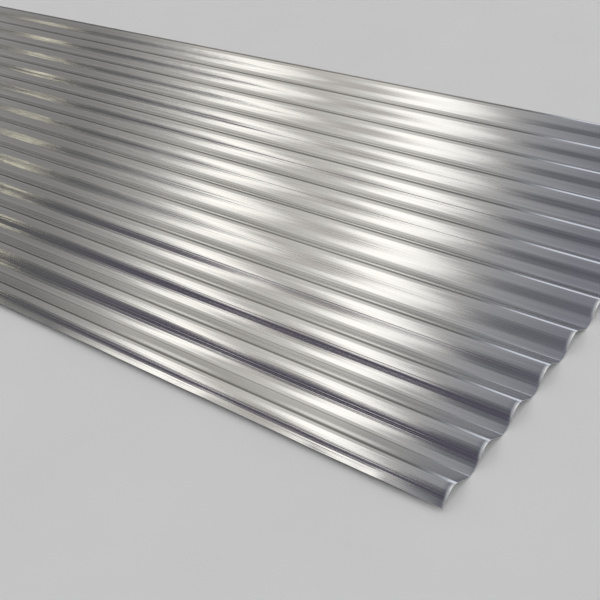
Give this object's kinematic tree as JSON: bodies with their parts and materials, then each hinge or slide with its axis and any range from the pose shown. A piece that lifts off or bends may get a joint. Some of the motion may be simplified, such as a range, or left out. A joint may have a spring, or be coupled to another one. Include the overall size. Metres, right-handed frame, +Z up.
{
  "type": "corrugated metal sheet",
  "caption": "Roll-formed steel sheet with round waves running along its whole length, both long edges turned down and both ends sheared square.",
  "frame": {"origin": "on the ground under the middle of the sheet, lying flat with its troughs down", "axes": "+X along the length and the waves, +Y across the waves, +Z up out of the crests"},
  "size_m": [2.44, 0.9, 0.0188],
  "materials": {
    "zinc_coated_steel": "bright metallic coating on rolled steel, glossy to satin, with fine streaks along the rolling direction"
  },
  "bodies": {
    "root": {"corrugated_sheet": "zinc_coated_steel"}
  },
  "joints": []
}
